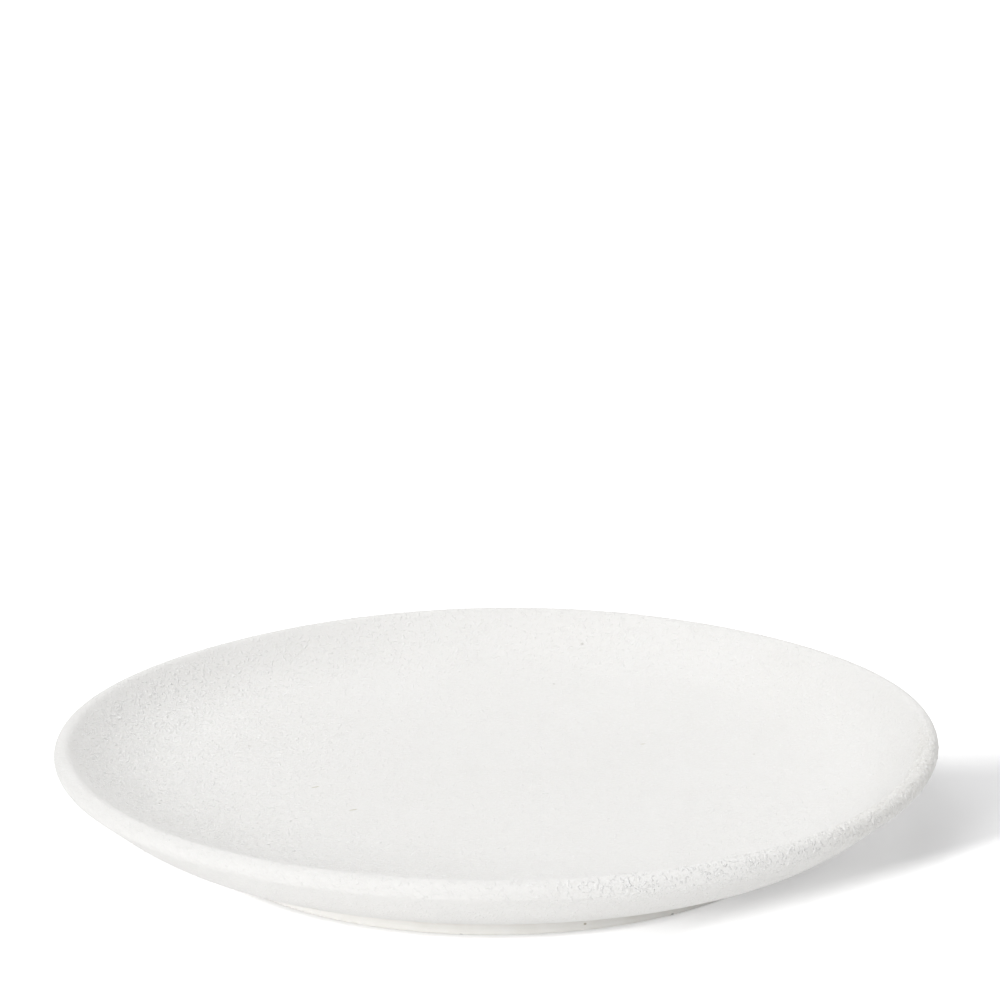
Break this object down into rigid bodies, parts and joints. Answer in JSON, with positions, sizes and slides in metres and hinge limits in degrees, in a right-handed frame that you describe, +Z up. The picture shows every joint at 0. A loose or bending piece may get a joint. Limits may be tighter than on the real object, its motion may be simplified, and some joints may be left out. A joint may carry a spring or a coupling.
{
  "type": "candle plate",
  "caption": "Shallow round candle plate with a sloping wall, a rounded lip and a low foot ring, in fired clay under a gritty matt white coat.",
  "frame": {"origin": "on the table, under the middle of the plate", "axes": "+Z up along the axis that the plate is turned about, +Y away from the viewer"},
  "size_m": [0.22, 0.22, 0.0259],
  "materials": {
    "bare_clay": "bare fired clay, matt, with fine turning lines",
    "white_coat": "matt white slip with sand grains and small pits"
  },
  "bodies": {
    "root": {"clay_body": "bare_clay", "white_coat": "white_coat"}
  },
  "joints": []
}
